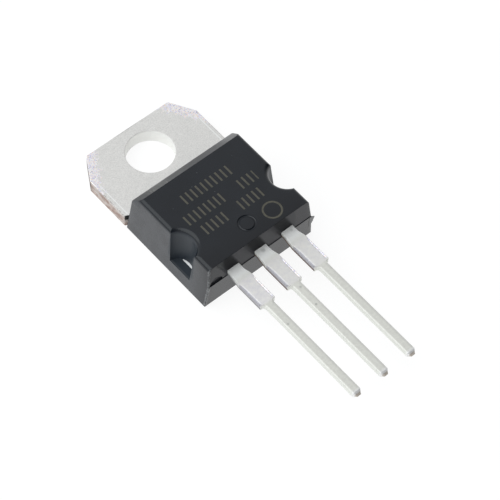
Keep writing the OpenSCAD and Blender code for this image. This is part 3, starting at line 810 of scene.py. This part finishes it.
def tinned_leads(shared):
    """Tin of the leads: lilac burnished shoulders with duller pressed edges, necks and tips painted paler as
    painted light, painted shade along the +X edge of the pins, a few dull spots, and bare metal on the
    sheared -X sides and tips."""
    made, wires, out, place, grain, colour = tin_base(shared, "tinned_leads", (0.83, 0.82, 0.77),
                                                      (0.72, 0.71, 0.665), 6.0)
    x, y, z = wires.in_mm(place)
    cut, flank, wing = (wires.attribute(name) for name in ("cut", "flank", "wing"))
    mottle = wires.place(shared["grain"], Place=place, Per_mm=3.2, Contrast=1.2)["Tone"]
    lilac = wires.mix(mottle, (0.80, 0.775, 0.82), (0.95, 0.92, 0.90))
    shoulder = wires.times(wires.attribute("shoulder"), wires.ramp(x, -1.6, -0.9, 0.75, 0.5))
    colour = wires.mix(shoulder, colour, lilac)
    colour = wires.mix(wires.times(wing, wires.ramp(x, -0.9, -0.6, 0.25, 0.55)), colour, (0.66, 0.65, 0.71))
    colour = wires.mix(wires.times(wires.attribute("crease"), 0.6), colour, (0.90, 0.88, 1.0))
    # Painted shade: the +X edge of each pin is darkened
    from_mid = wires.minus(wires.math("FLOORED_MODULO", wires.plus(x, PITCH / 2), PITCH), PITCH / 2)
    pin_edge_painted_shade = wires.times(wires.ramp(from_mid, 0.12, 0.26), wires.ramp(y, -16.4, -16.8),
                           wires.ramp(z, LEAD_TOP - 0.30, LEAD_TOP - 0.15))
    colour = wires.mix(wires.times(pin_edge_painted_shade, 0.22), colour, (0.40, 0.40, 0.38))
    # Painted light: the necks next to the body are painted near white and made less metallic
    neck = wires.ramp(y, -14.1, -13.3)
    colour = wires.mix(wires.times(neck, 0.95), colour, (1.0, 1.0, 0.985))
    for spot, width, share in TIN_SPOTS:
        off = wires.times(wires.vector("DISTANCE", place, tuple(Vector(spot) * MM))["Value"], 1 / MM)
        colour = wires.mix(wires.ramp(off, width, 0.2 * width, 0.0, share), colour, (0.22, 0.23, 0.22))
    colour, rubbed = tin_flakes(shared, wires, place, wires.times(wing, 0.50), colour)
    colour = wires.mix(wires.times(flank, 0.6), colour, (0.90, 0.92, 0.87))
    colour = wires.mix(wires.times(wires.attribute("dull"), 0.95), colour, (0.34, 0.33, 0.37))
    # Painted light: the tapered tips are painted paler
    colour = wires.mix(wires.ramp(y, -25.7, -26.0, 0.0, 0.75), colour, (1.0, 0.99, 1.0))

    copper = wires.mix(wires.ramp(x, -1.2, -0.9), (0.36, 0.35, 0.36), (0.13, 0.052, 0.027))
    copper = wires.mix(wires.ramp(y, -25.0, -25.5), copper, (0.54, 0.48, 0.42))
    bare = wires.times(cut, wires.ramp(tear_marks(wires, place), 0.34, 0.60, 0.9, 1.0))
    colour = wires.mix(wires.times(bare, 0.97), colour, copper)
    tin_skin(wires, out, grain, colour, wires.scaled(neck, -0.35, 0.5), rubbed, flank, cut)
    return made


def moulding_resin(shared):
    """Near-black moulding compound: low gloss, a faint bloom, fine specks, pale corners that are partly worn
    chips and partly a painted highlight, a painted sheen on the sides, painted light in the notches, painted
    dark reflections over the leads where the resin is also duller, and plain laser strokes and a laser ring
    on the front face."""
    made, wires, out, place = new_material("moulding_resin")
    x, y, z = wires.in_mm(place)
    grain = wires.place(shared["grain"], Place=place, Per_mm=14.0, Contrast=0.9)
    bloom = wires.place(shared["patches"], Place=place, Per_mm=0.35, Low=0.40, High=0.75)["Mask"]
    veil = wires.place(shared["patches"], Place=place, Per_mm=0.8, Low=0.30, High=0.65)["Mask"]
    colour = wires.mix(grain["Tone"], (0.0050, 0.0070, 0.0105), (0.0095, 0.0125, 0.0180))
    colour = wires.mix(wires.times(bloom, 0.3), colour, (0.012, 0.016, 0.023))
    rough = wires.plus(wires.times(grain["Tone"], 0.06), wires.plus(0.16, wires.times(bloom, 0.03)))
    on_front = wires.ramp(z, BODY_H - 0.02, BODY_H - 0.01)
    chipped = wires.noise(place, 5.0 / MM, 3.0, 0.7)

    across = wires.size(x)
    from_side = wires.minus(wires.scaled(z, -math.tan(SIDE_DRAFT), TAB_HALF), across)
    off_parting = wires.size(wires.minus(z, LEAD_Z))
    from_end = wires.plus(wires.scaled(off_parting, -math.tan(LEAD_DRAFT), BODY_TO), y)
    corner = wires.ramp(wires.plus(from_side, from_end), 0.22, 0.12)
    rubbed = wires.times(corner, wires.ramp(chipped, 0.38, 0.64, 0.12, 1.0))
    # Painted sheen: the side faces are painted lighter, most toward the tab end
    side_painted_sheen = wires.times(wires.ramp(from_side, 0.038, 0.020), wires.ramp(y, -12.5, -10.6, 0.1, 1.0),
                         wires.scaled(veil, 0.5, 0.5))
    colour = wires.mix(side_painted_sheen, colour, (0.044, 0.048, 0.056))
    # Pale corners: partly worn chips, partly a painted highlight on the rounded lead-end corners
    colour = wires.mix(rubbed, colour, (0.20, 0.205, 0.21))

    # Painted dark reflections of the leads: the upper lead end is darkened, and the darkest bands lie over
    # the leads' roots and lean toward -X as they rise
    over_leads = wires.times(wires.ramp(from_end, 0.12, 0.06), wires.ramp(z, LEAD_Z, LEAD_Z + 0.1),
                             wires.ramp(x, -3.6, -3.2))
    leaning = wires.scaled(wires.minus(z, LEAD_TOP), 0.473, x)
    lane = wires.math("FLOORED_MODULO", wires.plus(leaning, 2.5 * PITCH), PITCH)
    lead_painted_reflection = wires.times(over_leads, wires.ramp(wires.size(wires.minus(lane, PITCH / 2)), 0.72, 0.42),
                       wires.ramp(x, 3.3, 3.1))
    colour = wires.mix(wires.times(over_leads, wires.minus(1.0, rubbed), 0.7), colour, (0.002, 0.0032, 0.011))
    colour = wires.mix(wires.times(lead_painted_reflection, 0.7), colour, (0.0006, 0.0008, 0.0012))
    front_low = wires.times(wires.ramp(y, -10.2, -12.4), on_front)
    colour = wires.mix(wires.times(front_low, 0.6), colour, (0.0035, 0.0045, 0.0075))
    speck = wires.add("ShaderNodeTexVoronoi", {"Vector": place, "Scale": 1.1 / MM}, feature="F1")
    colour = wires.mix(wires.ramp(speck.outputs["Distance"], 0.055, 0.030), colour, (0.05, 0.055, 0.06))

    off_ring = wires.size(wires.minus(wires.away(x, y, LASER_RING_X, LASER_RING_Y), LASER_RING_R))
    marks = wires.ramp(off_ring, 0.10, 0.04)
    for left, right, low, high in LASER_ROWS:
        row = wires.place(shared["strokes"], X=x, Y=y, Left=left, Right=right, Low=low, High=high,
                          Pitch=STROKE_PITCH, Width=STROKE_WIDTH)["Mask"]
        marks = wires.math("MAXIMUM", marks, row)
    marks = wires.times(marks, on_front)
    burnt = wires.times(marks, wires.ramp(wires.noise(place, 9.0 / MM, 2.0, 0.6), 0.22, 0.52, 0.45, 1.0))
    colour = wires.mix(burnt, colour, (0.098, 0.092, 0.070))

    # Painted light: the notch walls are painted lighter and bluer than the resin
    off_axis = wires.away(across, y, NOTCH_X, -NOTCH_Y)
    in_notch = wires.times(wires.ramp(off_axis, 1.55, 1.35), wires.ramp(across, 5.0, 4.9),
                           wires.ramp(z, 4.44, 4.2))
    colour = wires.mix(wires.times(in_notch, 0.8), colour, (0.028, 0.037, 0.048))
    # Painted highlight: a pale band along the front edge of the notch floor
    lip = wires.times(wires.ramp(off_axis, 1.2, 1.1), wires.ramp(from_side, 0.19, 0.14),
                      wires.ramp(z, TAB_T + 0.03, TAB_T + 0.01), wires.ramp(z, TAB_T - 0.06, TAB_T - 0.03))
    colour = wires.mix(lip, colour, (0.050, 0.057, 0.066))
    wall_y = -BODY_TO + GATE_DEPTH
    torn = wires.times(wires.ramp(wires.away(x, z, GATE_X, LEAD_Z), GATE_R + 0.08, GATE_R + 0.02),
                       wires.ramp(y, wall_y + 0.08, wall_y + 0.05),
                       wires.ramp(y, wall_y - 0.05, wall_y - 0.02),
                       wires.ramp(z, LEAD_Z - 0.01, LEAD_Z + 0.01))
    colour = wires.mix(torn, colour, wires.mix(chipped, (0.022, 0.024, 0.028), (0.10, 0.10, 0.11)))

    slope_z = BODY_H - SLOPE
    on_slope = wires.times(wires.ramp(y, -BODY_FROM - 1.36, -BODY_FROM - 1.28),
                           wires.ramp(z, slope_z, slope_z + 0.06))
    uneven = wires.times(wires.ramp(wires.size(wires.plus(x, 2.75)), 0.3, 1.3), wires.ramp(x, 4.2, 3.2))
    duller = ((wires.times(on_slope, uneven), 0.16), (in_notch, 0.22), (lead_painted_reflection, 0.28), (torn, 0.4),
              (wires.times(over_leads, wires.ramp(x, 3.6, 3.2)), 0.19), (marks, 0.35))
    for where, more in duller:
        rough = wires.scaled(where, more, rough)
    put_skin(wires, out, colour, rough, grain["Height"], 0.12, 0.003, IOR=1.43)
    return made


def inner_finish(shared, name, dark, pale, metallic, roughness, grain_mm):
    """Finish of a piece inside the resin: two tones of grain and a little uneven gloss."""
    made, wires, out, place = new_material(name)
    grain = wires.place(shared["grain"], Place=place, Per_mm=grain_mm, Contrast=1.0)
    patches = wires.place(shared["patches"], Place=place, Per_mm=1.5, Low=0.4, High=0.7)["Mask"]
    colour = wires.mix(grain["Tone"], dark, pale)
    rough = wires.plus(roughness, wires.times(patches, 0.12))
    put_skin(wires, out, colour, rough, grain["Height"], 0.2, 0.003, Metallic=metallic)
    return made


# ---- the part

def dress():
    """Finer pieces for the stamping, the outer leads and the moulding; finishes for what stays inside."""
    shared = {"grain": grain_group(), "patches": cloud_group(), "flakes": burnish_group(),
              "strokes": stroke_group()}
    tab_tin, lead_tin, resin = tinned_tab(shared), tinned_leads(shared), moulding_resin(shared)

    from_post = -BODY_TO + POST_INSET + 0.1
    sink = piece("stamped_tab", [tab_and_pad(), centre_step()], tab_tin)
    middle = piece("output_lead_skin", [lead_skin(0.0, -STEP_Y)], lead_tin)
    adjust = piece("adjust_lead_skin", [lead_skin(-PITCH, from_post), bond_post(-1)], lead_tin)
    supply = piece("input_lead_skin", [lead_skin(PITCH, from_post), bond_post(1)], lead_tin)
    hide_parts("heat_sink")
    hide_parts("heat_sink")
    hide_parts("adjust_lead")
    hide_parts("input_lead")

    body = piece("moulded_case", [body_block()], resin, unit=1.0)
    for side in (-1, 1):
        cut_away(body, "notch_cut", [notch_cutter(side)])
    cut_away(body, "gate_cut", [gate_cutter()])
    cut_away(body, "ring_cut", [ring_cutter(*MOULD_RING)])
    body.data.transform(Matrix.Scale(MM, 4))
    finish_faces(body.data, 28)
    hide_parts("molded_body")
    flash = piece("parting_flash", [parting_flash()], resin)

    for made in (sink, middle, adjust, supply, body, flash):
        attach(made, "root")

    solder = inner_finish(shared, "dull_solder", (0.34, 0.34, 0.36), (0.50, 0.50, 0.52), 0.8, 0.45, 9.0)
    chip = inner_finish(shared, "polished_silicon", (0.10, 0.11, 0.14), (0.14, 0.15, 0.19), 0.5, 0.15, 20.0)
    wire = inner_finish(shared, "bright_wire", (0.62, 0.62, 0.63), (0.76, 0.76, 0.77), 1.0, 0.22, 30.0)
    finishes = {"die_solder": solder, "silicon_die": chip, "molded_body": resin,
                "heat_sink": lead_tin, "adjust_lead": lead_tin, "input_lead": lead_tin}
    for name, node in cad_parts.items():
        node.data.materials.clear()
        node.data.materials.append(finishes.get(name, wire))


camera_of_photograph()
studio()
dress()
